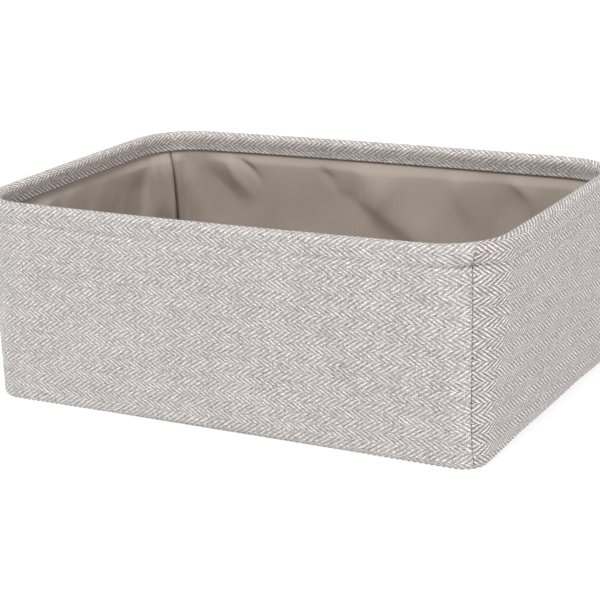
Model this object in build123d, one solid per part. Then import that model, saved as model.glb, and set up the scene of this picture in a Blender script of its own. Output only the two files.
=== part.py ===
from build123d import *
import os
from math import atan2, cos, degrees, hypot, radians, sin, sqrt

# Open-topped storage bin: woven cloth walls rolled over a wire rim, with a loose
# lining and a lift-out base insert. Origin: centre of the footprint, on the floor.
# +X along the long side, +Z up; the front faces -Y. All lengths are in millimetres.

# ---- driving dimensions -------------------------------------------------------
HEIGHT = 140.0
RIM_HALF_LENGTH = 190.0  # to the corner line, without the bow of the short sides
RIM_HALF_WIDTH = 123.0
RIM_CORNER_R = 43.8
RIM_BOW_LONG = 4.9  # how far the middle of a long side stands out
RIM_BOW_SHORT = 1.7
BASE_HALF_LENGTH = 181.3
BASE_HALF_WIDTH = 120.5
BASE_CORNER_R = 17.0
BASE_BOW = 1.0

CLOTH = 0.9  # outer cloth, outside face to inside face
ROLL_R = 4.0  # outside of the rim roll and of the rounded bottom edge
FACING_LOW = 127.0  # lower edge of the cloth turned down inside the rim
LEAN_TOP = 122.0  # the walls lean outwards up to here, and stand upright above
LEAN_LOW = ROLL_R
AIR = 0.15  # free space between two layers
CUT_MARGIN = 5.0  # how far a cutting shape runs past what it cuts
INTERLINING = 0.8
BOARD = 2.0
BOARD_MARGIN = 1.0  # from a board's edge to the bend beside it
LINING = 0.6
WIRE_R = 1.6
WIRE_ENDS_GAP = 1.0
SLEEVE_AIR = 0.05
SLEEVE_WALL = 0.35
SLEEVE_LENGTH = 30.0
THREAD_R = 0.25
SEAM_GAP = 0.7  # between the edges of two sewn panels
TOPSTITCH_DROP = 1.0  # below the top edge of the lining

INSERT_LENGTH = 348.0
INSERT_WIDTH = 226.0
INSERT_CORNER_R = 34.0
INSERT_COVER = 0.7
INSERT_BOARD = 2.1
INSERT_HEM = 25.0  # cover folded under the board, all round
INSERT_REST = 0.3  # above the sewn base

# ---- worked-out places --------------------------------------------------------
ROLL_Z = HEIGHT - ROLL_R
INTERLINING_IN = CLOTH + AIR
BOARD_IN = INTERLINING_IN + INTERLINING + AIR
LINING_IN = BOARD_IN + BOARD + AIR
LINING_FACE = LINING_IN + LINING
LINING_BASE_LOW = CLOTH + 2 * AIR
LINING_BASE_TOP = LINING_BASE_LOW + LINING
LINING_LOW = LINING_BASE_TOP + AIR
LINING_TOP = FACING_LOW - AIR
INSERT_LOW = LINING_BASE_TOP + INSERT_REST
INSERT_TOP = INSERT_LOW + 2 * (INSERT_COVER + AIR) + INSERT_BOARD
TOPSTITCH_IN = LINING_FACE + AIR + THREAD_R
BASE_PANEL_IN = ROLL_R + SEAM_GAP + AIR
BACK_WIRE_Y = RIM_HALF_WIDTH + RIM_BOW_LONG - ROLL_R

SIDES = {"right": 0, "back": 90, "left": 180, "front": 270}


class Outline:
    """A rounded rectangle with bowed sides: eight arcs, each tangent to the next."""

    def __init__(self, half_length, half_width, corner_r, bow_long, bow_short):
        self.long_r = (half_length**2 + bow_long**2) / (2 * bow_long)
        self.short_r = (half_width**2 + bow_short**2) / (2 * bow_short)
        self.corner_r = corner_r
        # arc centres: a long side's is (0, -ky), a short side's is (-kx, 0)
        self.ky = self.long_r - half_width - bow_long
        self.kx = self.short_r - half_length - bow_short
        self.cx, self.cy = self._corner_centre()
        self.start = degrees(atan2(self.cy, self.cx + self.kx))
        self.end = degrees(atan2(self.cy + self.ky, self.cx))

    def _corner_centre(self):
        """The circle of the corner radius that touches both side arcs from inside."""
        r1 = self.long_r - self.corner_r
        r2 = self.short_r - self.corner_r
        apart = hypot(self.kx, self.ky)
        along = (r1**2 - r2**2 + apart**2) / (2 * apart)
        off = sqrt(r1**2 - along**2)
        x = (-self.kx * along + self.ky * off) / apart
        y = -self.ky + (self.ky * along + self.kx * off) / apart
        return x, y

    def arcs(self, inset=0.0):
        """(centre x, centre y, radius, first angle, swept angle) of each arc."""
        sides = [(-self.kx, 0.0, self.short_r), (0.0, -self.ky, self.long_r)]
        half_spans = [self.start, 90 - self.end]
        found = []
        for quarter in range(4):
            turn = 90 * quarter
            sx = 1 if quarter in (0, 3) else -1
            sy = 1 if quarter < 2 else -1
            x, y, r = sides[quarter % 2]
            low = half_spans[quarter % 2]
            high = half_spans[1 - quarter % 2]
            found.append((sy * x, sy * y, r - inset, turn - low, 2 * low))
            corner_r = self.corner_r - inset
            found.append((sx * self.cx, sy * self.cy, corner_r, turn + low, 90 - low - high))
        return found

    def face(self, inset, z):
        edges = [CenterArc((x, y, z), r, a, size) for x, y, r, a, size in self.arcs(inset)]
        return make_face(edges)

    def middle(self, inset):
        """The point in the middle of the corner in +X +Y."""
        reach = (self.corner_r - inset) / sqrt(2)
        return self.cx + reach, self.cy + reach

    def swept(self, profile):
        """A flat profile, x outwards from the outline and y up, carried right round it."""
        ring = None
        for x, y, r, a, size in self.arcs():
            radial = Vector(cos(radians(a)), sin(radians(a)), 0)
            plane = Plane(origin=(x, y, 0), x_dir=radial, z_dir=radial.cross(Vector(0, 0, 1)))
            drawn = plane * Pos(r, 0) * profile
            piece = revolve(drawn, axis=Axis((x, y, 0), (0, 0, 1)), revolution_arc=size)
            ring = piece if ring is None else ring + piece
        return ring


RIM = Outline(RIM_HALF_LENGTH, RIM_HALF_WIDTH, RIM_CORNER_R, RIM_BOW_LONG, RIM_BOW_SHORT)
BASE = Outline(BASE_HALF_LENGTH, BASE_HALF_WIDTH, BASE_CORNER_R, BASE_BOW, BASE_BOW)


def leaning_wall(inset, thick):
    """The part of a layer between the base outline and the rim outline."""
    outside = loft([BASE.face(inset, LEAN_LOW), RIM.face(inset, LEAN_TOP)], ruled=True)
    inner = inset + thick
    inside = loft([BASE.face(inner, LEAN_LOW), RIM.face(inner, LEAN_TOP)], ruled=True)
    return outside - inside


def upright_band(outline, inset, thick, low, high):
    ring = outline.face(inset, low) - outline.face(inset + thick, low)
    return extrude(ring, amount=high - low, dir=(0, 0, 1))


def side_wedge(name, gap):
    """The space of one wall panel, cut off at the middle of each corner."""
    half = gap / sqrt(2)
    reach = 2 * RIM_HALF_LENGTH
    levels = [(-CUT_MARGIN, BASE), (LEAN_LOW, BASE), (LEAN_TOP, RIM), (HEIGHT + CUT_MARGIN, RIM)]
    sections = []
    for z, outline in levels:
        x, y = outline.middle(0)
        apex = x - y if name in ("left", "right") else y - x
        tip = apex + half
        corners = [(tip, 0), (tip + reach, reach), (tip + reach, -reach)]
        flat = Polyline(*[(px, py, z) for px, py in corners], close=True)
        sections.append(make_face(flat).rotate(Axis.Z, SIDES[name]))
    return loft(sections, ruled=True)


def panels(ring, gap=SEAM_GAP):
    return {name: ring & side_wedge(name, gap) for name in SIDES}


def rim_hook_profile():
    """Cloth up the outside, over the wire and down inside as the facing."""
    inner_r = ROLL_R - CLOTH
    facing_in = LINING_FACE + AIR - CLOTH
    outline = [
        Line((0, LEAN_TOP), (0, ROLL_Z)),
        ThreePointArc((0, ROLL_Z), (ROLL_R, HEIGHT), (2 * ROLL_R, ROLL_Z)),
        Line((2 * ROLL_R, ROLL_Z), (facing_in + CLOTH, FACING_LOW)),
        Line((facing_in + CLOTH, FACING_LOW), (facing_in, FACING_LOW)),
        Line((facing_in, FACING_LOW), (ROLL_R + inner_r, ROLL_Z)),
        ThreePointArc((ROLL_R + inner_r, ROLL_Z), (ROLL_R, ROLL_Z + inner_r), (CLOTH, ROLL_Z)),
        Line((CLOTH, ROLL_Z), (CLOTH, LEAN_TOP)),
        Line((CLOTH, LEAN_TOP), (0, LEAN_TOP)),
    ]
    return inward(make_face(outline))


def bottom_turn_profile():
    """The rounded bottom edge: a quarter turn that ends flat on the floor."""
    ring = Circle(ROLL_R) - Circle(ROLL_R - CLOTH)
    quarter = Pos(-ROLL_R / 2, -ROLL_R / 2) * Rectangle(ROLL_R, ROLL_R)
    return inward(Pos(ROLL_R, ROLL_R) * (ring & quarter))


def inward(profile):
    """Turns a profile drawn as (inset, height) round, so that inset runs inwards."""
    return mirror(profile, about=Plane.YZ)


def round_profile(radius, inset, z):
    return Pos(-inset, z) * Circle(radius)


def outer_panels():
    ring = leaning_wall(0, CLOTH)
    ring += RIM.swept(rim_hook_profile())
    ring += BASE.swept(bottom_turn_profile())
    return {f"outer_{k}_panel": v for k, v in panels(ring).items()}


def interlinings():
    """Soft felt under the cloth, which pads the wire."""
    outside_r = ROLL_R - INTERLINING_IN
    inside_r = outside_r - INTERLINING
    arch = Circle(outside_r) - Circle(inside_r)
    arch &= Pos(0, outside_r / 2) * Rectangle(2 * outside_r, outside_r)
    ring = leaning_wall(INTERLINING_IN, INTERLINING)
    ring += upright_band(RIM, INTERLINING_IN, INTERLINING, LEAN_TOP, ROLL_Z)
    ring += RIM.swept(inward(Pos(ROLL_R, ROLL_Z) * arch))
    return {f"interlining_{k}": v for k, v in panels(ring).items()}


def stiffeners():
    """One board in each wall, as wide as the wall's side arc."""
    low = LEAN_LOW + BOARD_MARGIN
    high = LEAN_TOP - BOARD_MARGIN
    ring = leaning_wall(BOARD_IN, BOARD)
    boards = {}
    for name, turn in SIDES.items():
        long_side = name in ("front", "back")
        sections = []
        for z, outline in ((low, BASE), (high, RIM)):
            half = (outline.cx if long_side else outline.cy) - BOARD_MARGIN
            depth = 2 * RIM_HALF_LENGTH
            flat = Pos(depth / 2, 0, z) * Rectangle(depth, 2 * half)
            sections.append(flat.rotate(Axis.Z, turn))
        boards[f"stiffener_{name}"] = ring & loft(sections, ruled=True)
    return boards


def linings():
    ring = leaning_wall(LINING_IN, LINING)
    ring += upright_band(BASE, LINING_IN, LINING, LINING_LOW, LEAN_LOW)
    ring += upright_band(RIM, LINING_IN, LINING, LEAN_TOP, LINING_TOP)
    return {f"lining_{k}": v for k, v in panels(ring).items()}


def flat_base(inset, low, thick):
    return extrude(BASE.face(inset, low), amount=thick, dir=(0, 0, 1))


def rim_wire():
    """One hoop of wire; its two ends butt in the middle of the back."""
    hoop = RIM.swept(round_profile(WIRE_R, ROLL_R, ROLL_Z))
    return hoop - Pos(0, BACK_WIRE_Y, ROLL_Z) * Box(WIRE_ENDS_GAP, 4 * WIRE_R, 4 * WIRE_R)


def rim_wire_sleeve():
    """The crimped tube over the wire's butted ends."""
    bore = WIRE_R + SLEEVE_AIR
    tube = Circle(bore + SLEEVE_WALL) - Circle(bore)
    hoop = RIM.swept(Pos(-ROLL_R, ROLL_Z) * tube)
    return hoop & Pos(0, BACK_WIRE_Y, ROLL_Z) * Box(SLEEVE_LENGTH, 4 * bore, 4 * bore)


def thread_rod(low, high):
    """A straight run of thread between two points."""
    run = Vector(*high) - Vector(*low)
    plane = Plane(origin=low, z_dir=run)
    return extrude(plane * Circle(THREAD_R), amount=run.length)


def corner_threads(inset, low, high):
    """One run of stitching up the middle of each corner."""
    bx, by = BASE.middle(inset)
    rx, ry = RIM.middle(inset)
    rods = []
    for sx, sy in ((1, 1), (-1, 1), (-1, -1), (1, -1)):
        foot = (sx * bx, sy * by, LEAN_LOW)
        knee = (sx * rx, sy * ry, LEAN_TOP)
        rod = thread_rod(foot, knee) + thread_rod(knee, (*knee[:2], high))
        if low < LEAN_LOW:
            rod += thread_rod((*foot[:2], low), foot)
        rods.append(rod)
    return Compound(children=rods)


def insert_block(inset, low, high):
    """A slab in the plan of the insert."""
    length = INSERT_LENGTH - 2 * inset
    width = INSERT_WIDTH - 2 * inset
    flat = RectangleRounded(length, width, INSERT_CORNER_R - inset)
    return extrude(Pos(0, 0, low) * flat, amount=high - low, dir=(0, 0, 1))


def insert_board():
    inset = INSERT_COVER + AIR
    low = INSERT_LOW + INSERT_COVER + AIR
    return insert_block(inset, low, low + INSERT_BOARD)


def insert_cover():
    """Lining cloth over the board, folded under it all round."""
    inside = insert_block(INSERT_COVER, INSERT_LOW + INSERT_COVER, INSERT_TOP - INSERT_COVER)
    window = insert_block(INSERT_HEM, INSERT_LOW - CUT_MARGIN, INSERT_LOW + 2 * INSERT_COVER)
    return insert_block(0, INSERT_LOW, INSERT_TOP) - inside - window


def threads():
    """The stitching that holds the cloth together."""
    cloth_mid = CLOTH / 2
    lining_mid = LINING_IN + LINING / 2
    base_seam_in = (ROLL_R + BASE_PANEL_IN) / 2
    lining_seam_z = LINING_BASE_TOP + AIR + THREAD_R
    topstitch = round_profile(THREAD_R, TOPSTITCH_IN, LINING_TOP - TOPSTITCH_DROP)
    base_seam = round_profile(THREAD_R, base_seam_in, cloth_mid)
    lining_seam = round_profile(THREAD_R, TOPSTITCH_IN, lining_seam_z)
    return {
        "rim_topstitch": RIM.swept(topstitch),
        "outer_corner_stitching": corner_threads(cloth_mid, LEAN_LOW, ROLL_Z),
        "lining_corner_stitching": corner_threads(lining_mid, LINING_LOW, LINING_TOP),
        "outer_base_stitching": BASE.swept(base_seam),
        "lining_base_stitching": BASE.swept(lining_seam),
    }


def all_nodes():
    nodes = {}
    nodes.update(outer_panels())
    nodes.update(interlinings())
    nodes.update(stiffeners())
    nodes.update(linings())
    nodes["outer_base_panel"] = flat_base(BASE_PANEL_IN, 0, CLOTH)
    nodes["lining_base_panel"] = flat_base(LINING_IN + AIR, LINING_BASE_LOW, LINING)
    nodes["rim_wire"] = rim_wire()
    nodes["rim_wire_sleeve"] = rim_wire_sleeve()
    nodes["insert_board"] = insert_board()
    nodes["insert_cover"] = insert_cover()
    nodes.update(threads())
    return nodes


os.makedirs("parts", exist_ok=True)
for node_name, solid in all_nodes().items():
    export_step(solid, f"parts/{node_name}.step")
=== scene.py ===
import math

import bpy
import numpy as np
from mathutils import Matrix, Vector


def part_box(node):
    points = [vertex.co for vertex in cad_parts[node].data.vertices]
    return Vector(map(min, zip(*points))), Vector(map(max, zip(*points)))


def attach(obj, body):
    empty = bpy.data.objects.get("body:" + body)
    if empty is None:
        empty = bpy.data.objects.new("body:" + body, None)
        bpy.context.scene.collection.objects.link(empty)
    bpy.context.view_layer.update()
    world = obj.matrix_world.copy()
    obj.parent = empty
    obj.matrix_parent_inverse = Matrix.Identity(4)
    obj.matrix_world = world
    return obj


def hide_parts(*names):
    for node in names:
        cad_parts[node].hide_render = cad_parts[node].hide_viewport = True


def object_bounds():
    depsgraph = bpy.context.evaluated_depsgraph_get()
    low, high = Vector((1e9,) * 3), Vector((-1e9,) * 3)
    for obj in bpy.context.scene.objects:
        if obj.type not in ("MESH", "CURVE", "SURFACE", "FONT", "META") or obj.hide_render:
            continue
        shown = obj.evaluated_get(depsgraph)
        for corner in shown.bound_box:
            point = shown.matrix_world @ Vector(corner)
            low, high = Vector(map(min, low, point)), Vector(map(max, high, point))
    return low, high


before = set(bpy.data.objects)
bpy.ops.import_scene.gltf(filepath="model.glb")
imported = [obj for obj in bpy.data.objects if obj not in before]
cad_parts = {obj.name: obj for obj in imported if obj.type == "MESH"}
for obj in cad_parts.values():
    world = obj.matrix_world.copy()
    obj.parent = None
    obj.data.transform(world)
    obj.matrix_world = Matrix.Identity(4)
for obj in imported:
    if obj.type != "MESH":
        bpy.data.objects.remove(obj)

# Lengths are in millimetres, and mesh_object() turns a piece's points into metres. A point
# on a wall is named by its panel, by q from -1 to 1 along the panel from seam to seam, and
# by its height z. Along the cloth, u is the distance from the middle of the panel and v the
# distance up the wall, over the rim and down inside. Displacements are along the cloth's
# own normal.
MM = 0.001
CAD_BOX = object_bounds()


def cad_box(node):
    low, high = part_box(node)
    return np.array(low) / MM, np.array(high) / MM


# ---- sizes, from the frame where it states them ----------------------------------
BOX_HIGH = np.array(CAD_BOX[1]) / MM
INSERT_LOW, INSERT_HIGH = cad_box("insert_cover")
BASE_HIGH = cad_box("outer_base_panel")[1]
LINING_BASE_LOW, LINING_BASE_HIGH = cad_box("lining_base_panel")

HEIGHT = BOX_HIGH[2]
RIM_BOW_LONG = 4.9  # how far the middle of a long side of the rim stands out
RIM_BOW_SHORT = 1.7
RIM_HALF_LENGTH = BOX_HIGH[0] - RIM_BOW_SHORT
RIM_HALF_WIDTH = BOX_HIGH[1] - RIM_BOW_LONG
RIM_CORNER_R = 43.8
BASE_HALF_LENGTH = 181.3
BASE_HALF_WIDTH = 120.5
BASE_CORNER_R = 17.0
BASE_BOW = 1.0
LEAN_LOW = 4.0  # the walls lean outwards from this height
LEAN_TOP = 122.0  # up to this one
LEAN_BLEND = 7.0  # the bend between the leaning wall and the upright rim is this soft

UNDERSIDE = 0.1  # the lowest cloth is this far above the floor
ROLL_R = 4.0  # of the rolled rim, and of the bottom edge
ROLL_Z = HEIGHT - ROLL_R
BOTTOM_TURN_V = LEAN_LOW - ROLL_R * math.pi / 2  # v where the bottom edge begins to turn
ROLL_END_V = ROLL_Z + ROLL_R * math.pi  # v where the cloth comes down inside the rim
CLOTH = 0.8  # thickness
FELT_GAP = 0.2
FELT = 0.75
LINING_CLOTH = 0.5
LINING_IN = 4.25  # back face of the lining
FACING_LOW = 126.8
FACING_IN = 6.3  # outer face of the facing at its lower edge
HEM_R = 0.75  # of the fold at the facing's lower edge
LINING_LOW = 2.1  # lower edge of the lining of the walls
STITCH_PITCH = 3.9
TOPSTITCH_PITCH = 5.8

PANELS = ("front", "right", "back", "left")
TURN = {"right": 0, "back": 90, "left": 180, "front": 270}
# how far a seam stands from the middle of its corner, by panel and by the q of that end
SEAM_SHIFT = {("front", 1): -2.4, ("right", -1): -2.4, ("back", 1): 1.0, ("left", -1): 1.0}
# how far the bottom edge rolls under
TUCK = {"front": 1.4, "right": 2.6, "back": 1.6, "left": 2.2}

# ---- weave ----------------------------------------------------------------------
PICK = 4.35 / 4  # one crossing along the band
END = 13.2 / 18  # one crossing across the band
BAND_ENDS = 9
BAND_START = 3.2  # height of the lower edge of a band that rises to the right
# how much higher than on the front the bands lie
PATTERN_RISE = {"front": 0.0, "right": 0.0, "back": -2.2, "left": -2.0}


def bell(x, width):
    """1 at 0, and almost nothing beyond twice the width."""
    return np.exp(-((x / width) ** 2))


def smooth_step(x, low, high):
    """0 up to low, 1 from high on, and a smooth rise between."""
    t = np.clip((x - low) / (high - low), 0, 1)
    return t * t * (3 - 2 * t)


class Outline:
    """A rounded rectangle with bowed sides: eight arcs, each tangent to the next."""

    def __init__(self, half_length, half_width, corner_r, bow_long, bow_short):
        long_r = (half_length**2 + bow_long**2) / (2 * bow_long)
        short_r = (half_width**2 + bow_short**2) / (2 * bow_short)
        ky = long_r - half_width - bow_long
        kx = short_r - half_length - bow_short
        r1, r2 = long_r - corner_r, short_r - corner_r
        apart = math.hypot(kx, ky)
        along = (r1**2 - r2**2 + apart**2) / (2 * apart)
        off = math.sqrt(r1**2 - along**2)
        cx = (-kx * along + ky * off) / apart
        cy = -ky + (ky * along + kx * off) / apart
        start = math.atan2(cy, cx + kx)
        end = math.atan2(cx, cy + ky)
        self.corner_r = corner_r
        # side radius, arc centre behind the side, half the side's angle, corner centre
        self.short = (short_r, kx, start, cx, cy)
        self.long = (long_r, ky, end, cy, cx)

    def side(self, panel):
        return self.long if panel in ("front", "back") else self.short

    def lengths(self, panel):
        r, _, span, _, _ = self.side(panel)
        return r * span, self.corner_r * (math.pi / 4 - span)

    def at(self, panel, q, side_share, drift):
        """Place, outward normal and distance along, in the panel's own frame."""
        r, k, span, cx, cy = self.side(panel)
        sign = np.sign(q)
        flat = np.clip(np.abs(q) / side_share, 0, 1)
        round_part = np.clip((np.abs(q) - side_share) / (1 - side_share), 0, 1)
        middle = math.pi / 4 + sign * drift
        angle = np.where(round_part > 0, span + round_part * (middle - span), flat * span)
        on_corner = round_part > 0
        x = np.where(on_corner, cx + self.corner_r * np.cos(angle), -k + r * np.cos(angle))
        y = np.where(on_corner, cy + self.corner_r * np.sin(angle), r * np.sin(angle))
        along = np.where(on_corner, r * span + self.corner_r * (angle - span), r * angle)
        return x, sign * y, np.cos(angle), sign * np.sin(angle), sign * along


RIM = Outline(RIM_HALF_LENGTH, RIM_HALF_WIDTH, RIM_CORNER_R, RIM_BOW_LONG, RIM_BOW_SHORT)
BASE = Outline(BASE_HALF_LENGTH, BASE_HALF_WIDTH, BASE_CORNER_R, BASE_BOW, BASE_BOW)


def pattern_rise(panel, u, v):
    """How much higher the bands of the weave lie than on the middle of the front.

    The front's cloth is a little askew, and its bands lie lower over the rim. The right
    panel's are drawn up towards the front corner.
    """
    askew = 0.007 * u - 1.3 * smooth_step(v, 116, 130) if panel == "front" else 0
    dragged = 5.6 * np.exp(-(u + 110) / 45) if panel == "right" else 0
    return PATTERN_RISE[panel] + askew + dragged


def pattern_along(panel):
    """What u needs for the weave to run on across the back corners at the rim."""
    half = {name: sum(RIM.lengths(name)) for name in PANELS}
    reach = {"right": 0, "back": half["right"] + half["back"], "front": 0}
    reach["left"] = reach["back"] + half["back"] + half["left"]
    return reach[panel]


def lean(z):
    """How far a height is from the base outline, 0, to the rim outline, 1."""
    steps = [LEAN_BLEND * s for s in (-1, -0.5, 0, 0.5, 1)]
    shares = [np.clip((z + s - LEAN_LOW) / (LEAN_TOP - LEAN_LOW), 0, 1) for s in steps]
    return sum(shares) / len(shares)


def seam_drift(panel, q, z):
    """How far round its corner, as an angle, a seam stands from the middle of the corner."""
    ahead, behind = (SEAM_SHIFT.get((panel, end), 0) for end in (1, -1))
    near_floor = 0.3 + 0.7 * smooth_step(z, 0, 30)
    near_rim = 1 - 0.85 * smooth_step(z, 121, 141)
    share = near_floor * near_rim
    radius = BASE_CORNER_R + (RIM_CORNER_R - BASE_CORNER_R) * lean(z)
    return np.where(q > 0, ahead, behind) * share / radius


def wall(panel, q, z):
    """The cloth's outer face at rest: place, plan normal, distance along and to the seam."""
    flat, corner = RIM.lengths(panel)
    share = flat / (flat + corner)
    t = lean(z)
    drift = seam_drift(panel, q, z)
    rim = RIM.at(panel, q, share, drift)
    base = BASE.at(panel, q, share, drift)
    x, y, nx, ny, u = (b + (a - b) * t for a, b in zip(rim, base))
    size = np.hypot(nx, ny)
    reach = sum(RIM.lengths(panel)) * t + sum(BASE.lengths(panel)) * (1 - t)
    turn = math.radians(TURN[panel])
    c, s = round(math.cos(turn)), round(math.sin(turn))
    place = (c * x - s * y, s * x + c * y)
    normal = ((c * nx - s * ny) / size, (s * nx + c * ny) / size)
    return place, normal, u, (1 - np.abs(q)) * reach


def seam_columns(panel, step=2.6):
    """Columns from seam to seam, close together beside each seam."""
    length = sum(RIM.lengths(panel))
    near = np.array([0, 0.3, 0.6, 1.0, 1.5, 2.1, 2.9, 3.9, 5.2, 7.0])  # distances from a seam
    count = int((length - near[-1]) / step)
    half = np.concatenate([near, np.linspace(near[-1], length, count + 1)[1:]])
    right = 1 - half / length
    return np.concatenate([-right, right[-2::-1]])[None, :]


def waves(a, b, seed, size, count=9):
    """Smooth random unevenness about as coarse as size, mostly from -1 to 1."""
    draw = np.random.default_rng(seed)
    total = 0
    for _ in range(count):
        angle = draw.uniform(0, math.pi)
        length = size * draw.uniform(0.7, 2.0)
        phase = draw.uniform(0, 2 * math.pi)
        ahead = a * math.cos(angle) + b * math.sin(angle)
        total = total + np.cos(ahead * 2 * math.pi / length + phase)
    return total / math.sqrt(count) / 1.4


# ---- profiles: rows of (inset, height, outward part and upward part of the normal, v) ----
def run(first, last, step):
    """Even steps from first to last, each about as long as step."""
    return np.linspace(first, last, max(2, int(abs(last - first) / step) + 1))


def join_rows(*parts):
    """Each part begins with the row that the part before it ends with."""
    return np.vstack([p if i == 0 else p[1:] for i, p in enumerate(parts)])


def bottom_turn_rows():
    """From under the bin, round the bottom edge, to where the wall begins."""
    under = [[inset, UNDERSIDE, 0, -1, BOTTOM_TURN_V + ROLL_R - inset] for inset in (5.2, 4.6)]
    angle = np.linspace(math.pi / 2, 0, 9)
    turn = np.stack(
        [
            ROLL_R - ROLL_R * np.cos(angle),
            ROLL_R - (ROLL_R - UNDERSIDE) * np.sin(angle),
            np.cos(angle),
            -np.sin(angle),
            LEAN_LOW - ROLL_R * angle,
        ],
        axis=1,
    )
    return np.vstack([under, turn])


def wall_rows(low, high):
    """Up the outside of a wall, close together about the crease under the rim."""
    below, above = FACING_LOW - 9, FACING_LOW + 5
    parts = [run(low, below, 3), run(below, above, 0.8), run(above, high, 1.6)]
    heights = np.unique(np.concatenate(parts))
    return np.stack([0 * heights, heights, 0 * heights + 1, 0 * heights, heights], axis=1)


def roll_rows(last=math.pi, count=19):
    """Over the rim, from outside to inside."""
    angle = np.linspace(0, last, count)
    return np.stack(
        [
            ROLL_R - ROLL_R * np.cos(angle),
            ROLL_Z + ROLL_R * np.sin(angle),
            np.cos(angle),
            np.sin(angle),
            ROLL_Z + ROLL_R * angle,
        ],
        axis=1,
    )


def facing_rows():
    """Down inside from the roll, ending in a hem that turns back towards the wall."""
    z = run(ROLL_Z, FACING_LOW, 0.9)
    drop = (ROLL_Z - z) / (ROLL_Z - FACING_LOW)
    inset = 2 * ROLL_R - (2 * ROLL_R - FACING_IN) * smooth_step(drop, -0.1, 1.05)
    v = ROLL_END_V + (ROLL_Z - z)
    down = np.stack([inset, z, 0 * z - 1, 0 * z, v], axis=1)
    angle = np.linspace(0, math.pi * 0.55, 6)[1:]
    hem = np.stack(
        [
            inset[-1] - HEM_R + HEM_R * np.cos(angle),
            z[-1] - HEM_R * np.sin(angle),
            -np.cos(angle),
            -np.sin(angle),
            v[-1] + HEM_R * angle,
        ],
        axis=1,
    )
    return np.vstack([down, hem])


OUTER_ROWS = join_rows(bottom_turn_rows(), wall_rows(LEAN_LOW, ROLL_Z), roll_rows(), facing_rows())


# ---- how the cloth departs from its plain shape -----------------------------------
def rim_crease(panel, u, z, seam):
    """The dent that the facing's stitches draw into the wall, and the fuller cloth above it."""
    seed = PANELS.index(panel) * 10
    height = FACING_LOW - 0.8 + 0.5 * waves(u, 0 * z, seed + 1, 60) + 1.2 * bell(seam, 8)
    depth = 0.45 + 0.2 * waves(u, 0 * z, seed + 2, 45) + 2.1 * bell(seam, 17)
    dent = -depth * bell(z - height, 1.2) - 0.35 * depth * bell(z - height, 5)
    fullness = 0.45 + 0.2 * waves(u, 0 * z, seed + 3, 50)
    return dent, smooth_step(z, height, height + 5) * fullness


def corner_seam(v, seam):
    """The sunk line of a corner seam, the ridge beside it and its small puckers."""
    sunk = -0.55 * bell(seam, 0.55) - 0.25 * bell(seam, 2.2)
    ridge = 0.25 * bell(seam - 1.4, 0.8)
    pucker = 0.12 * np.cos(2 * math.pi * v / STITCH_PITCH) * bell(seam - 1.0, 1.6)
    return (sunk + ridge + pucker) * (1 - smooth_step(v, ROLL_Z - 1, ROLL_Z + 4))


def bottom_roll(panel, u, v):
    """How the bottom edge rolls under, most at the middle of a panel."""
    middle = np.cos(math.pi / 2 * np.clip(u / sum(BASE.lengths(panel)), -1, 1)) ** 2
    begin = smooth_step(v, -2.3, -0.9)
    edge = begin * (0.65 - 0.65 * smooth_step(v, 0.5, 5))
    above = 0.35 * begin * (1 - smooth_step(v, 3, 18))
    return -TUCK[panel] * middle * (edge + above)


def outer_swell(panel, u, z, v, seam):
    """The crease under the rim, the sunk corner seams and the cloth's slight unevenness."""
    seed = PANELS.index(panel) * 10
    on_wall = smooth_step(z, 2, 12) * (v < ROLL_Z + 1)
    crease, above = rim_crease(panel, u, z, seam)
    rounded = np.where(v > ROLL_Z, 0.45, above)
    uneven = 0.4 * waves(u, z, seed + 4, 55) + 0.12 * waves(u, z, seed + 5, 14)
    swell = crease * (v < ROLL_Z) + rounded + uneven * on_wall + corner_seam(v, seam)
    low_edge = smooth_step(v, BOTTOM_TURN_V, LEAN_LOW + 6)
    hem = 1 - 0.6 * smooth_step(v, ROLL_END_V, ROLL_END_V + 8)
    return swell * low_edge * hem + bottom_roll(panel, u, v)


# Loose folds of the lining: panel, distance along and height of the first and last end, half
# width to the left and to the right of someone who goes along the inside from the first end
# to the last, and how far the fold stands out. A negative one is a valley.
FOLDS = [
    ("back", (134, 125), (110, 93), 5, 12, 5.6),
    ("back", (124, 124), (103, 105), 2.8, 3.6, -4.0),
    ("back", (152, 110), (124, 76), 13, 12, -3.2),
    ("back", (172, 112), (156, 66), 12, 10, 3.4),
    ("back", (49, 119), (38, 106), 4.5, 5, -3.4),
    ("back", (11, 126), (10, 92), 22, 9, 7.0),
    ("back", (7, 101), (-73, 44), 28, 15, 9.0),
    ("back", (40, 104), (4, 70), 9, 12, -2.6),
    ("back", (-62, 122), (-70, 84), 14, 5, 3.2),
    ("back", (-106, 126), (-130, 92), 10, 6, 3.4),
    ("back", (84, 70), (30, 44), 14, 9, 3.0),
    ("back", (-50, 58), (-104, 36), 12, 9, 2.8),
    ("left", (-92, 126), (-91, 110), 1.6, 1.8, -2.2),
    ("left", (-110, 122), (-108, 44), 12, 42, 6.6),
    ("left", (-78, 114), (-64, 56), 6, 36, -5.0),
    ("left", (44, 122), (66, 70), 9, 7, 3.4),
    ("right", (-60, 124), (-42, 76), 9, 5, 4.2),
    ("right", (14, 118), (40, 64), 12, 5, 4.6),
    ("right", (84, 124), (90, 60), 6, 4, 3.4),
    ("front", (-118, 124), (-96, 78), 10, 5, 4.6),
    ("front", (-30, 122), (-58, 70), 12, 5, 4.4),
    ("front", (66, 124), (88, 84), 9, 5, 4.4),
    ("front", (120, 90), (146, 48), 9, 7, 3.2),
]


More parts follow.
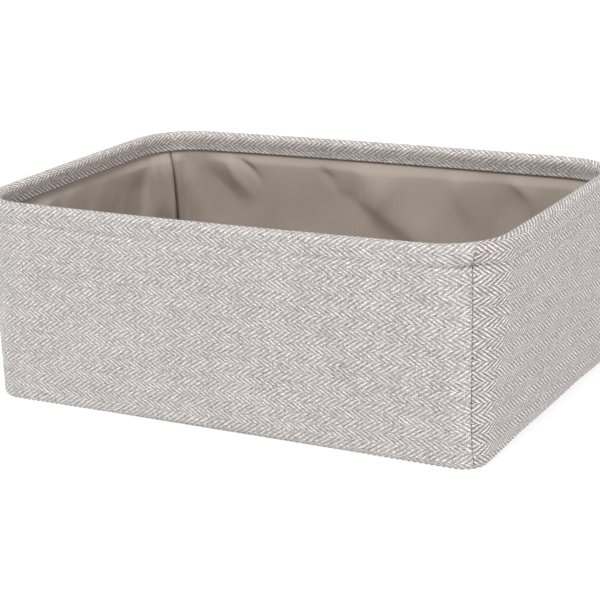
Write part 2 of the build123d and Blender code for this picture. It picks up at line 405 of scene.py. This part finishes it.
def fold_height(panel, u, z):
    """How far all the folds of a panel together stand out."""
    total = 0
    for name, first, last, left_w, right_w, height in FOLDS:
        if name != panel:
            continue
        ax, az = first
        dx, dz = last[0] - ax, last[1] - az
        length = math.hypot(dx, dz)
        s = ((u - ax) * dx + (z - az) * dz) / length
        wander = 2.5 * waves(s, 0 * s, int(abs(ax)), 40)
        across = ((u - ax) * dz - (z - az) * dx) / length + wander
        width = np.where(across < 0, right_w, left_w)
        ends = smooth_step(s, -10, 14) * (1 - smooth_step(s, length * 0.45, length + 8))
        total = total + height * ends / (1 + (across / width) ** 2) ** 1.5
    return total


def lining_swell(panel, u, z, v, seam):
    """How far the loose lining stands off the wall."""
    seed = 100 + PANELS.index(panel) * 10
    below = np.maximum(FACING_LOW - 1.2 - z, 0)
    top = smooth_step(below, 0.5, 8)
    bottom = smooth_step(z, 5, 60)
    fullness = 3.7 + 1.5 * waves(u, 0 * z, seed + 3, 60)
    decay = 26 + 10 * waves(u, 0 * z, seed + 4, 90)
    billow = fullness * (1 - np.exp(-below / 8)) * np.exp(-below / decay)
    coarse, fine = waves(u, z * 0.7, seed, 70), waves(u + 0.6 * z, z * 0.4, seed + 1, 24)
    slack = 0.6 + 1.1 * coarse + 0.5 * fine
    gathers = np.maximum(0.4 * waves(u, z * 0.1, seed + 2, 8) * bell(below - 2, 9), -0.3)
    loose = billow + slack + fold_height(panel, u, z)
    least = 0.3  # nearer than this the cloth eases towards the wall, and never gets there
    loose = np.where(loose > least, loose, least * np.exp((loose - least) / 0.6))
    beside = 2.8 * bell(seam - 5.5, 4) * smooth_step(z, 10, 60)
    at_seam = 1 - 0.95 * bell(seam, 0.9)
    sunk = 0.8 * bell(seam, 0.7) * smooth_step(z, 8, 16)
    hanging = (loose + beside) * top * bottom * at_seam
    return hanging + gathers * top + 0.15 - sunk


# ---- meshes ---------------------------------------------------------------------
def mesh_object(name, points, faces, uvs=None, material=None):
    """A smooth mesh, with a cloth place, u and v, for each point."""
    mesh = bpy.data.meshes.new(name)
    corners = [tuple(int(i) for i in face) for face in faces]
    mesh.from_pydata((np.asarray(points) * MM).tolist(), [], corners)
    mesh.polygons.foreach_set("use_smooth", [True] * len(mesh.polygons))
    if uvs is not None:
        layer = mesh.uv_layers.new(name="cloth_mm")
        loops = np.zeros(len(mesh.loops), int)
        mesh.loops.foreach_get("vertex_index", loops)
        layer.data.foreach_set("uv", np.asarray(uvs)[loops].astype(np.float32).ravel())
    piece = bpy.data.objects.new(name, mesh)
    bpy.context.collection.objects.link(piece)
    if material is not None:
        mesh.materials.append(material)
    return piece


def grid_faces(rows, columns, first=0, flip=False):
    """Four-sided faces over a grid of points numbered from first."""
    index = first + np.arange(rows * columns).reshape(rows, columns)
    a, b, c, d = index[:-1, :-1], index[:-1, 1:], index[1:, 1:], index[1:, :-1]
    quads = np.stack([a, b, c, d], axis=-1).reshape(-1, 4)
    return quads[:, ::-1] if flip else quads


def edge_strip(outer, inner):
    """Closes the gap between two matching loops of vertex numbers."""
    return [
        (outer[i], inner[i], inner[(i + 1) % len(outer)], outer[(i + 1) % len(outer)])
        for i in range(len(outer))
    ]


def shell(name, outside, inside, uv, material):
    """A closed sheet from two grids of points."""
    rows, columns = outside.shape[:2]
    points = np.concatenate([outside.reshape(-1, 3), inside.reshape(-1, 3)])
    count = rows * columns
    index = np.arange(count).reshape(rows, columns)
    loop = [*index[0], *index[1:, -1], *index[-1, -2::-1], *index[-2:0:-1, 0]]
    faces = [*grid_faces(rows, columns), *grid_faces(rows, columns, count, flip=True)]
    faces += edge_strip(loop, [i + count for i in loop])
    uvs = np.concatenate([uv.reshape(-1, 2)] * 2)
    return mesh_object(name, points, faces, uvs, material)


def panel_points(panel, q, rows, swell, depth):
    """Points of one wall panel, depth below the face that swell() shapes, and its u and v."""
    inset, z, out, up, v = (rows[:, i : i + 1] for i in range(5))
    place, normal, u, seam = wall(panel, q, z)
    grid = 0 * q + 0 * z
    move = swell(panel, u, z + grid, v + grid, seam) - depth
    inward = inset - move * out
    x, y = (at - inward * way for at, way in zip(place, normal))
    points = np.stack([x, y, z + move * up], axis=-1)
    across = v + grid - pattern_rise(panel, u, v)
    return points, np.stack([u + grid + pattern_along(panel), across], axis=-1)


def panel_shell(name, panel, rows, swell, depth, thick, material, step=2.6, trim=0.0):
    """A wall panel as a closed sheet, which stops short of each seam by trim."""
    q = seam_columns(panel, step) * (1 - trim / sum(RIM.lengths(panel)))
    outside, uv = panel_points(panel, q, rows, swell, depth)
    inside, _ = panel_points(panel, q, rows, swell, depth + thick)
    return shell(name, outside, inside, uv, material)


# ---- stitches -------------------------------------------------------------------
# places along a stitch as shares of its length, and how full the thread is there
STITCH_SHAPE = [(-0.5, 0.12), (-0.47, 0.62), (-0.38, 0.9), (-0.15, 1.0),
                (0.15, 1.0), (0.38, 0.9), (0.47, 0.62), (0.5, 0.12)]
THREAD_SIDES = 6


def stitch_row(name, middles, along, outward, material, length, radius, rise):
    """Short lengths of thread, each bowed a little out of the cloth, with round ends."""
    turns = [2 * math.pi * k / THREAD_SIDES for k in range(THREAD_SIDES)]
    points, faces = [], []
    for middle, direction, out in zip(middles, along, outward):
        across = np.cross(direction, out)
        first = len(points)
        for s, fat in STITCH_SHAPE:
            centre = middle + direction * s * length + out * rise * (1 - (2 * s) ** 2)
            for turn in turns:
                spoke = out * math.cos(turn) + across * math.sin(turn)
                points.append(centre + spoke * radius * fat)
        last = len(points) - THREAD_SIDES
        for ring in range(first, last, THREAD_SIDES):
            for k in range(THREAD_SIDES):
                a, b = ring + k, ring + (k + 1) % THREAD_SIDES
                faces.append((a, b, b + THREAD_SIDES, a + THREAD_SIDES))
        faces.append([first + k for k in range(THREAD_SIDES)][::-1])
        faces.append([last + k for k in range(THREAD_SIDES)])
    return mesh_object(name, points, faces, None, material)


def unit(vectors):
    return vectors / np.linalg.norm(vectors, axis=-1, keepdims=True)


def spaced_marks(line, pitch):
    """Places at one pitch along a line, with the direction there."""
    steps = np.linalg.norm(np.diff(line, axis=0), axis=1)
    reach = np.concatenate([[0], np.cumsum(steps)])
    at = np.arange(pitch / 2, reach[-1], pitch)
    behind, places, ahead = (
        np.stack([np.interp(at + shift, reach, line[:, k]) for k in range(3)], axis=1)
        for shift in (-0.3, 0, 0.3)
    )
    return places, unit(ahead - behind)


def cloth_line(panel, q, rows, swell, depth):
    """A line on a wall panel, depth below its face, and the way out of the cloth there."""
    points, _ = panel_points(panel, q, rows, swell, depth)
    raised, _ = panel_points(panel, q, rows, swell, depth - 1)
    line = points.reshape(-1, 3)
    return line, unit(raised.reshape(-1, 3) - line)


def corner_lines(rows, swell, depth):
    """The line up each corner, just inside the seam."""
    q = np.array([[0.9999]])
    return [cloth_line(panel, q, rows, swell, depth) for panel in PANELS]


def ring_lines(row, swell, depth):
    """The line along each wall panel at one row, which together go right round the bin."""
    q = np.linspace(-1, 1, 400)[None, :]
    return [cloth_line(panel, q, row, swell, depth) for panel in PANELS]


def stitches(name, lines, pitch, material, **shape):
    """A stitch at every pitch along each line."""
    middles, along, outward = [], [], []
    for line, out in lines:
        for place, direction in zip(*spaced_marks(line, pitch)):
            nearest = np.argmin(np.linalg.norm(line - place, axis=1))
            middles.append(place)
            along.append(direction)
            outward.append(unit(out[nearest] - direction * np.dot(out[nearest], direction)))
    return stitch_row(name, middles, along, outward, material, **shape)


# ---- materials ------------------------------------------------------------------
class Shader:
    """A material's node tree, with short names for the nodes that the cloths need."""

    def __init__(self, name, **values):
        self.material = bpy.data.materials.new(name)
        self.material.use_nodes = True
        self.tree = self.material.node_tree
        self.surface = self.tree.nodes["Principled BSDF"]
        for socket, value in values.items():
            self.surface.inputs[socket.replace("_", " ").title()].default_value = value

    def node(self, kind, **settings):
        made = self.tree.nodes.new(kind)
        for key, value in settings.items():
            setattr(made, key, value)
        return made

    def put(self, socket, value):
        if isinstance(value, bpy.types.NodeSocket):
            self.tree.links.new(value, socket)
        else:
            socket.default_value = value

    def math(self, operation, *values):
        made = self.node("ShaderNodeMath", operation=operation)
        for socket, value in zip(made.inputs, values):
            self.put(socket, value)
        return made.outputs[0]

    def total(self, *values):
        result = values[0]
        for value in values[1:]:
            result = self.math("ADD", result, value)
        return result

    def choose(self, share, first, second):
        """first where share is 1, second where it is 0."""
        rest = self.math("SUBTRACT", 1.0, share)
        return self.total(self.math("MULTIPLY", first, share), self.math("MULTIPLY", second, rest))

    def mix(self, share, first, second):
        """A colour: first where share is 0, second where it is 1."""
        made = self.node("ShaderNodeMix", data_type="RGBA")
        self.put(made.inputs[0], share)
        self.put(made.inputs[6], first)
        self.put(made.inputs[7], second)
        return made.outputs[2]

    def scale_colour(self, colour, factor):
        made = self.node("ShaderNodeVectorMath", operation="SCALE")
        self.put(made.inputs[0], colour)
        self.put(made.inputs[3], factor)
        return made.outputs[0]

    def spot(self, x, y, z=0.0):
        made = self.node("ShaderNodeCombineXYZ")
        for socket, value in zip(made.inputs, (x, y, z)):
            self.put(socket, value)
        return made.outputs[0]

    def noise(self, where, scale, detail=2.0, roughness=0.5):
        made = self.node("ShaderNodeTexNoise")
        self.put(made.inputs["Vector"], where)
        self.put(made.inputs["Scale"], scale)
        self.put(made.inputs["Detail"], detail)
        self.put(made.inputs["Roughness"], roughness)
        return made.outputs[0]

    def chance(self, number, seed=0.0):
        """A random value from 0 to 1 for each whole number."""
        made = self.node("ShaderNodeTexWhiteNoise", noise_dimensions="2D")
        self.put(made.inputs["Vector"], self.spot(number, seed))
        return made.outputs[0]

    def ramp(self, value, low, high, to_low=0.0, to_high=1.0):
        made = self.node("ShaderNodeMapRange")
        for socket, number in zip(made.inputs, (value, low, high, to_low, to_high)):
            self.put(socket, number)
        return made.outputs[0]

    def swing(self, value, low, high, amount):
        """From minus amount where value is low to plus amount where it is high."""
        return self.ramp(value, low, high, -amount, amount)

    def cloth_place(self):
        """Distance along and across the cloth, in millimetres."""
        made = self.node("ShaderNodeUVMap", uv_map="cloth_mm")
        split = self.node("ShaderNodeSeparateXYZ")
        self.tree.links.new(made.outputs[0], split.inputs[0])
        return split.outputs[0], split.outputs[1]

    def object_place(self):
        return self.node("ShaderNodeTexCoord").outputs["Object"]

    def bump(self, height, distance, strength=1.0):
        made = self.node("ShaderNodeBump")
        self.put(made.inputs["Height"], height)
        self.put(made.inputs["Distance"], distance)
        self.put(made.inputs["Strength"], strength)
        self.tree.links.new(made.outputs[0], self.surface.inputs["Normal"])

    def finish(self, colour, roughness=None):
        self.put(self.surface.inputs["Base Color"], colour)
        if roughness is not None:
            self.put(self.surface.inputs["Roughness"], roughness)
        return self.material


def hump(shader, x):
    """0 at both ends of a unit, 1 in its middle."""
    rest = shader.math("SUBTRACT", 1.0, x)
    return shader.math("MULTIPLY", shader.math("MULTIPLY", x, 4.0), rest)


# Pale and dark yarn of each panel, with painted light: it is one cloth, but the shade differs a
# little from panel to panel, the back and left paler and the right and left more contrasty, to
# stand in for how the light falls on each panel.
YARNS_PAINTED_LIGHT_BY_PANEL = {
    "front": ((0.615, 0.592, 0.568, 1), (0.342, 0.315, 0.305, 1)),
    "right": ((0.655, 0.615, 0.595, 1), (0.228, 0.201, 0.196, 1)),
    "back": ((0.720, 0.690, 0.668, 1), (0.372, 0.342, 0.333, 1)),
    "left": ((0.730, 0.690, 0.665, 1), (0.290, 0.262, 0.254, 1)),
}


def herringbone_cloth(panel):
    """A 2/2 twill whose diagonal turns back every nine ends: pale yarn along, taupe across."""
    # painted light: this panel's yarn shades stand in for how brightly the panel is lit
    pale_yarn, dark_yarn = YARNS_PAINTED_LIGHT_BY_PANEL[panel]
    s = Shader(f"herringbone_twill_{panel}", roughness=0.92, sheen_weight=0.25, sheen_roughness=0.6)
    u, v = s.cloth_place()
    place = s.spot(u, v)

    # the yarns run slightly unevenly: i counts the crossings along a band, j those across it
    along_u = s.math("ADD", u, s.swing(s.noise(place, 0.05, 3.0), 0.3, 0.7, 0.45))
    across_v = s.math("ADD", v, s.swing(s.noise(s.spot(v, u), 0.06, 3.0), 0.3, 0.7, 0.3))
    i = s.math("DIVIDE", along_u, PICK)
    j = s.math("DIVIDE", s.math("SUBTRACT", across_v, BAND_START), END)
    i_cell, j_cell = s.math("FLOOR", i), s.math("FLOOR", j)
    i_part, j_part = s.math("FRACT", i), s.math("FRACT", j)

    # which yarn is on top, and how far along its float and across its width a point is
    band = s.math("FLOORED_MODULO", j_cell, 2.0 * BAND_ENDS)
    rising = s.math("LESS_THAN", band, BAND_ENDS - 0.5)
    turned_back = s.math("SUBTRACT", 2.0 * BAND_ENDS + 1, band)
    shifted = s.math("SUBTRACT", i_cell, s.choose(rising, band, turned_back))
    phase = s.math("FLOORED_MODULO", shifted, 4.0)
    pale = s.math("LESS_THAN", phase, 1.5)
    pale_run = s.math("DIVIDE", s.math("ADD", phase, i_part), 2.0)
    up_run = s.math("DIVIDE", s.math("ADD", s.math("SUBTRACT", 3.0, phase), j_part), 2.0)
    down_run = s.math("DIVIDE", s.math("ADD", s.math("SUBTRACT", phase, 2.0), j_part), 2.0)
    dark_run = s.choose(rising, up_run, down_run)
    ends = s.math("POWER", hump(s, s.choose(pale, pale_run, dark_run)), 0.4)
    body = s.math("POWER", hump(s, s.choose(pale, j_part, i_part)), 0.7)
    height = s.math("MULTIPLY", ends, body)

    # uneven shade: of the spun yarn, its fibres, each yarn, each float and each crossing
    drawn_out, apart = 0.42, 3.7
    on_pale = s.spot(s.math("MULTIPLY", u, drawn_out), s.math("MULTIPLY", j_cell, apart))
    on_dark = s.spot(s.math("MULTIPLY", i_cell, apart), s.math("MULTIPLY", v, drawn_out))
    heather = s.choose(pale, s.noise(on_pale, 1.0, 2.0, 0.6), s.noise(on_dark, 1.0, 2.0, 0.6))
    fibre = s.noise(place, 2.4, 3.0, 0.7)
    float_number = s.math("FLOOR", s.math("DIVIDE", shifted, 4.0))
    each_float = s.chance(s.math("ADD", float_number, s.math("MULTIPLY", pale, 0.5)), j_cell)
    each_yarn = s.choose(pale, s.chance(j_cell), s.chance(i_cell, 7.0))
    each_crossing = s.chance(s.math("ADD", i_cell, s.math("MULTIPLY", j_cell, 0.37)), j_cell)
    cloud = s.noise(place, 0.03, 2.0)
    tone = s.total(
        s.swing(heather, 0.25, 0.75, 0.30),
        s.swing(fibre, 0.3, 0.7, 0.38),
        s.swing(each_float, 0, 1, 0.15),
        s.swing(each_crossing, 0, 1, 0.27),
        s.swing(each_yarn, 0, 1, 0.05),
        s.swing(cloud, 0.3, 0.7, 0.04),
    )
    colour = s.mix(pale, dark_yarn, pale_yarn)
    # painted shade: each crossing darkens to about half where its height falls towards the gaps
    # between yarns, and is a little lighter on its crown; tone is the yarn's own uneven shade
    tone_and_painted_gap_shade = s.math("MULTIPLY", s.math("ADD", tone, 1.0), s.ramp(height, 0.0, 0.65, 0.52, 1.06))
    relief = s.math("ADD", height, s.total(s.math("MULTIPLY", fibre, 0.5), heather))
    s.bump(relief, 0.00025, 0.7)
    return s.finish(s.scale_colour(colour, tone_and_painted_gap_shade))


def lining_cloth():
    """Plain taupe cotton blend, closely woven, with faint streaks along its yarns."""
    s = Shader("plain_lining", roughness=0.85, sheen_weight=0.3, sheen_roughness=0.5)
    u, v = s.cloth_place()
    thread = 0.42  # width of a yarn
    across = s.math("SINE", s.math("MULTIPLY", u, math.pi / thread))
    along = s.math("SINE", s.math("MULTIPLY", v, math.pi / thread))
    weave = s.math("MULTIPLY", across, along)
    fibre = s.noise(s.spot(u, v), 3.5, 3.0, 0.7)
    streak = s.noise(s.spot(s.math("MULTIPLY", u, 1.2), s.math("MULTIPLY", v, 0.05)), 1.0, 3.0)
    cloud = s.noise(s.object_place(), 16.0, 3.0)
    tone = s.total(
        s.swing(streak, 0.3, 0.7, 0.035),
        s.swing(cloud, 0.3, 0.7, 0.05),
        s.swing(weave, -1, 1, 0.05),
        s.swing(fibre, 0.3, 0.7, 0.04),
    )
    s.bump(s.math("ADD", weave, fibre), 0.00006, 0.6)
    colour = s.mix(cloud, (0.40, 0.337, 0.287, 1), (0.37, 0.318, 0.277, 1))
    return s.finish(s.scale_colour(colour, s.math("ADD", tone, 1.0)))


def thread_material(name, dark, light):
    """Spun thread, with its twist as a fine slanting stripe."""
    s = Shader(name, roughness=0.7, sheen_weight=0.2)
    twist = s.node("ShaderNodeTexWave", wave_type="BANDS", bands_direction="DIAGONAL")
    s.put(twist.inputs["Vector"], s.object_place())
    s.put(twist.inputs["Scale"], 900.0)
    s.put(twist.inputs["Distortion"], 1.5)
    fuzz = s.noise(s.object_place(), 2500.0, 2.0)
    s.bump(s.math("ADD", twist.outputs[1], fuzz), 0.00008, 0.8)
    return s.finish(s.mix(s.math("MULTIPLY", twist.outputs[1], fuzz), dark, light))


def felt_material():
    s = Shader("needled_felt", roughness=1.0, sheen_weight=0.4)
    tangle = s.noise(s.object_place(), 900.0, 5.0, 0.75)
    cloud = s.noise(s.object_place(), 60.0, 2.0)
    s.bump(tangle, 0.0004)
    share = s.math("MULTIPLY", tangle, cloud)
    return s.finish(s.mix(share, (0.62, 0.60, 0.56, 1), (0.86, 0.85, 0.82, 1)))


def board_material():
    s = Shader("pressed_board", roughness=0.9)
    pulp = s.noise(s.object_place(), 400.0, 6.0, 0.8)
    fleck = s.noise(s.object_place(), 1800.0, 2.0)
    s.bump(pulp, 0.00015)
    colour = s.mix(pulp, (0.30, 0.24, 0.17, 1), (0.47, 0.40, 0.31, 1))
    return s.finish(s.mix(s.ramp(fleck, 0.62, 0.7), colour, (0.16, 0.13, 0.10, 1)))


def steel_material():
    s = Shader("drawn_steel", metallic=1.0)
    drawn = s.noise(s.object_place(), 700.0, 3.0)
    s.bump(drawn, 0.00004)
    colour = s.mix(drawn, (0.42, 0.42, 0.43, 1), (0.60, 0.60, 0.61, 1))
    return s.finish(colour, s.ramp(drawn, 0.3, 0.7, 0.28, 0.5))


TWILL = {panel: herringbone_cloth(panel) for panel in PANELS}
PLAIN = lining_cloth()
FELT_MATERIAL = felt_material()
BOARD_MATERIAL = board_material()
STEEL = steel_material()
DARK_THREAD = thread_material("seam_thread", (0.05, 0.04, 0.035, 1), (0.16, 0.14, 0.125, 1))
TAUPE_THREAD = thread_material("lining_seam_thread", (0.12, 0.10, 0.085, 1), (0.26, 0.22, 0.19, 1))
PALE_THREAD = thread_material("lining_thread", (0.50, 0.46, 0.41, 1), (0.80, 0.76, 0.70, 1))


# ---- pieces ---------------------------------------------------------------------
def place_piece(piece, body, slot, *nodes):
    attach(piece, body)
    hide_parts(*nodes)


def outer_panels():
    for panel in PANELS:
        piece = panel_shell(f"outer_cloth_{panel}", panel, OUTER_ROWS, outer_swell, 0, CLOTH,
                            TWILL[panel], trim=0.01)
        place_piece(piece, "bin", "woven_cloth", f"outer_{panel}_panel")


def felt_panels():
    rows = join_rows(wall_rows(LEAN_LOW + 1, ROLL_Z), roll_rows(math.pi * 0.95, 14))
    for panel in PANELS:
        piece = panel_shell(f"felt_{panel}", panel, rows, outer_swell, CLOTH + FELT_GAP, FELT,
                            FELT_MATERIAL, step=6.0, trim=0.5)
        place_piece(piece, "bin", "felt", f"interlining_{panel}")


def lining_rows():
    """Up the inside of a wall, from the lining's base to behind the facing."""
    z = np.concatenate([run(LINING_LOW, 112, 2.2), run(112, FACING_LOW + 1.6, 1.0)[1:]])
    inset = 0 * z + LINING_IN + LINING_CLOTH
    return np.stack([inset, z, 0 * z - 1, 0 * z, z], axis=1)


LINING_ROWS = lining_rows()


def lining_panels():
    for panel in PANELS:
        piece = panel_shell(f"lining_cloth_{panel}", panel, LINING_ROWS, lining_swell, 0,
                            LINING_CLOTH, PLAIN, step=2.2, trim=0.1)
        place_piece(piece, "bin", "lining_cloth", f"lining_{panel}")


def slab_outline(half_length, half_width, corner_r, count=160):
    """Points right round a rounded rectangle, and the way out at each."""
    flat_x, flat_y = half_length - corner_r, half_width - corner_r
    centres = [(flat_x, flat_y), (-flat_x, flat_y), (-flat_x, -flat_y), (flat_x, -flat_y)]
    bend = corner_r * math.pi / 2
    lengths = np.array([2 * flat_y, bend, 2 * flat_x, bend] * 2)
    starts = np.concatenate([[0], np.cumsum(lengths)])
    points, normals = [], []
    for at in np.linspace(0, 1, count + 1)[:-1] * starts[-1]:
        part = int(np.searchsorted(starts, at, side="right")) - 1
        share = (at - starts[part]) / lengths[part]
        corner, on_corner = divmod(part, 2)
        (ax, ay), (bx, by) = centres[corner - 1], centres[corner]
        if on_corner:
            turn = math.pi / 2 * (corner + share)
            normals.append((math.cos(turn), math.sin(turn)))
            points.append((bx, by))
        else:
            turn = math.pi / 2 * corner
            normals.append((round(math.cos(turn)), round(math.sin(turn))))
            points.append((ax + (bx - ax) * share, ay + (by - ay) * share))
    normals = np.array(normals)
    return np.array(points) + corner_r * normals, normals


def slab_rings(rim, normals, low, high, edge_r):
    """Rings from the middle of the top, over the edge, to the middle below."""
    shares = [0.0, 0.25, 0.5, 0.72, 0.86, 0.94, 0.98]  # of the way from the middle to the rim

    def ring(points, z):
        return np.column_stack([points, np.full(len(points), z)])

    flat = [rim * share - normals * edge_r * share for share in shares]
    edge = []
    for turn in np.linspace(math.pi / 2, -math.pi / 2, 9):
        inset = edge_r * (1 - math.cos(turn))
        tall = edge_r * math.sin(turn)
        z = (low + high) / 2
        if turn:
            z = high - edge_r + tall if turn > 0 else low + edge_r + tall
        edge.append(ring(rim - normals * inset, z))
    return [ring(f, high) for f in flat] + edge + [ring(f, low) for f in flat[::-1]]


def slab_faces(count, bands):
    """Faces over rings of count points each, closed by one point at either end."""
    following = [(i + 1) % count for i in range(count)]
    faces = [(0, 1 + i, 1 + j) for i, j in enumerate(following)]
    for a in range(1, 1 + bands * count, count):
        faces += [(a + i, a + count + i, a + count + j, a + j) for i, j in enumerate(following)]
    a = 1 + bands * count
    return faces + [(a + j, a + i, a + count) for i, j in enumerate(following)]


def rounded_slab(name, size, low, high, material, corner_r, edge_r, swell=None):
    """A soft-edged slab of cloth, whose size is half its length and half its width."""
    rim, normals = slab_outline(*size, corner_r)
    rings = slab_rings(rim, normals, low, high, edge_r)
    points = np.concatenate([rings[0][:1], *rings[1:-1], rings[-1][:1]])
    if swell is not None:
        top = points[:, 2] > (low + high) / 2
        points[:, 2] += np.where(top, swell(points[:, 0], points[:, 1]), 0)
    faces = slab_faces(len(rim), len(rings) - 3)
    return mesh_object(name, points, faces, points[:, :2], material)


def base_panel():
    half_length, half_width = BASE_HIGH[0], BASE_HIGH[1]
    piece = rounded_slab("outer_cloth_base", (half_length, half_width), UNDERSIDE, BASE_HIGH[2],
                         TWILL["front"], corner_r=12.5, edge_r=0.35)
    place_piece(piece, "bin", "woven_cloth", "outer_base_panel")


def lining_base():
    low, high = LINING_BASE_LOW, LINING_BASE_HIGH
    gap = 0.8  # to the lining of the walls

    def unevenness(x, y):
        return 0.08 * waves(x, y, 301, 40) * bell(np.hypot(x, y), 300)

    piece = rounded_slab("lining_cloth_base", (high[0] - gap, high[1] - gap), low[2] + 0.05,
                         high[2] - 0.1, PLAIN, corner_r=12.0, edge_r=0.2, swell=unevenness)
    place_piece(piece, "bin", "lining_cloth", "lining_base_panel")


def insert_cover():
    """The lift-out insert: lining cloth drawn round a board."""
    half_length, half_width = INSERT_HIGH[0], INSERT_HIGH[1]

    def give(x, y):
        edge = np.minimum(half_length - np.abs(x), half_width - np.abs(y))
        return 0.25 * waves(x, y, 311, 70) * smooth_step(edge, 0, 30) - 0.15 * bell(edge - 6, 4)

    piece = rounded_slab("insert_cloth", (half_length, half_width), INSERT_LOW[2],
                         INSERT_HIGH[2], PLAIN, corner_r=34.0, edge_r=1.6, swell=give)
    place_piece(piece, "base_insert", "lining_cloth", "insert_cover")


def lining_row(z):
    """One row of the lining, at a height."""
    return np.array([[LINING_IN + LINING_CLOTH, z, -1, 0, z]])


def all_stitches():
    seam_rows = join_rows(bottom_turn_rows()[3:], wall_rows(LEAN_LOW, ROLL_Z))
    outer = stitches("corner_seam_stitches", corner_lines(seam_rows, outer_swell, 0.05),
                     STITCH_PITCH, DARK_THREAD, length=2.4, radius=0.24, rise=0.12)
    place_piece(outer, "bin", "outer_thread", "outer_corner_stitching")

    inner = stitches("lining_seam_stitches", corner_lines(LINING_ROWS[:-4], lining_swell, 0.1),
                     STITCH_PITCH, TAUPE_THREAD, length=2.2, radius=0.16, rise=0.08)
    place_piece(inner, "bin", "lining_thread", "lining_corner_stitching")

    bottom = stitches("base_seam_stitches", ring_lines(bottom_turn_rows()[4:5], outer_swell, 0.05),
                      STITCH_PITCH, DARK_THREAD, length=2.2, radius=0.26, rise=0.15)
    place_piece(bottom, "bin", "outer_thread", "outer_base_stitching")

    # Partly painted shadow: the rim topstitches are real thread, but taupe and fat, so that the row
    # also paints the dark line of shadow under the facing's hem.
    top = stitches("rim_topstitches", ring_lines(lining_row(FACING_LOW - 1.0), lining_swell, -0.2),
                   TOPSTITCH_PITCH, TAUPE_THREAD, length=4.7, radius=0.5, rise=0.3)
    place_piece(top, "bin", "lining_thread", "rim_topstitch")

    foot_row = lining_row(LINING_LOW + 0.5)
    foot = stitches("lining_base_stitches", ring_lines(foot_row, lining_swell, -0.1),
                    STITCH_PITCH, PALE_THREAD, length=2.2, radius=0.2, rise=0.1)
    place_piece(foot, "bin", "lining_thread", "lining_base_stitching")


def dress_cad_nodes():
    """Gives the boards and the wire, which stay as the CAD made them, their materials."""
    dressed = {"stiffener": BOARD_MATERIAL, "insert_board": BOARD_MATERIAL, "rim_wire": STEEL}
    for name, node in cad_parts.items():
        for start, material in dressed.items():
            if name.startswith(start):
                node.data.materials.clear()
                node.data.materials.append(material)


outer_panels()
felt_panels()
lining_panels()
base_panel()
lining_base()
insert_cover()
all_stitches()
dress_cad_nodes()


# ---- stage, light and camera ------------------------------------------------------
def floor():
    """A pale floor that glows a little, so that the ground is as white as the photograph's."""
    s = Shader("pale_floor", roughness=0.95)
    mottle = s.noise(s.object_place(), 3.0, 2.0)
    s.surface.inputs["Emission Color"].default_value = (1, 1, 1, 1)
    s.surface.inputs["Emission Strength"].default_value = 0.8
    s.finish(s.mix(mottle, (0.24, 0.24, 0.24, 1), (0.26, 0.26, 0.26, 1)))
    reach = 12000
    corners = [(-reach, -reach, 0), (reach, -reach, 0), (reach, reach, 0), (-reach, reach, 0)]
    mesh_object("studio_floor", corners, [(0, 1, 2, 3)], None, s.material)


def area_light(name, place, size, power, colour=(1, 1, 1)):
    """A round light that faces the bin."""
    bin_middle = Vector((0, 0, 0.1))
    data = bpy.data.lights.new(name, "AREA")
    data.color = colour
    data.shape = "DISK"
    data.size = size
    data.energy = power
    light = bpy.data.objects.new(name, data)
    light.location = place
    light.rotation_euler = (bin_middle - Vector(place)).to_track_quat("-Z", "Y").to_euler()
    bpy.context.collection.objects.link(light)


def world_light(strength):
    world = bpy.data.worlds.new("studio")
    world.use_nodes = True
    world.node_tree.nodes["Background"].inputs[0].default_value = (1.0, 1.0, 1.0, 1)
    world.node_tree.nodes["Background"].inputs[1].default_value = strength
    bpy.context.scene.world = world


def camera():
    """Stands to the right of the front, a little above the rim, and rolled a little."""
    stand = (0.57432, -1.02468, 0.41229)
    yaw, pitch, roll = 0.5126, 0.2952, -0.0432
    level_part = math.cos(pitch)
    ahead = Vector((-math.sin(yaw) * level_part, math.cos(yaw) * level_part, -math.sin(pitch)))
    level = ahead.cross(Vector((0, 0, 1))).normalized()
    above = level.cross(ahead)
    right = level * math.cos(roll) + above * math.sin(roll)
    up = above * math.cos(roll) - level * math.sin(roll)
    data = bpy.data.cameras.new("studio_camera")
    data.sensor_width = 36.0
    data.lens = 106.2
    data.shift_x = -0.0038
    data.shift_y = -0.0011
    data.clip_end = 50.0
    eye = bpy.data.objects.new("studio_camera", data)
    turn = Matrix((right, up, -ahead)).transposed().to_4x4()
    eye.matrix_world = Matrix.Translation(stand) @ turn
    bpy.context.collection.objects.link(eye)
    bpy.context.scene.camera = eye


floor()
world_light(0.42)
area_light("key", (0.2, -1.55, 2.85), size=1.1, power=79.0)
area_light("left_fill", (-2.4, -1.0, 0.7), size=1.2, power=10.0)
area_light("back_fill", (-1.0, 2.5, 0.7), size=1.2, power=18.0)
area_light("right_fill", (2.6, -0.6, 0.3), size=0.5, power=25.0, colour=(1.0, 0.94, 0.935))
camera()
bpy.context.scene.view_settings.view_transform = "Standard"
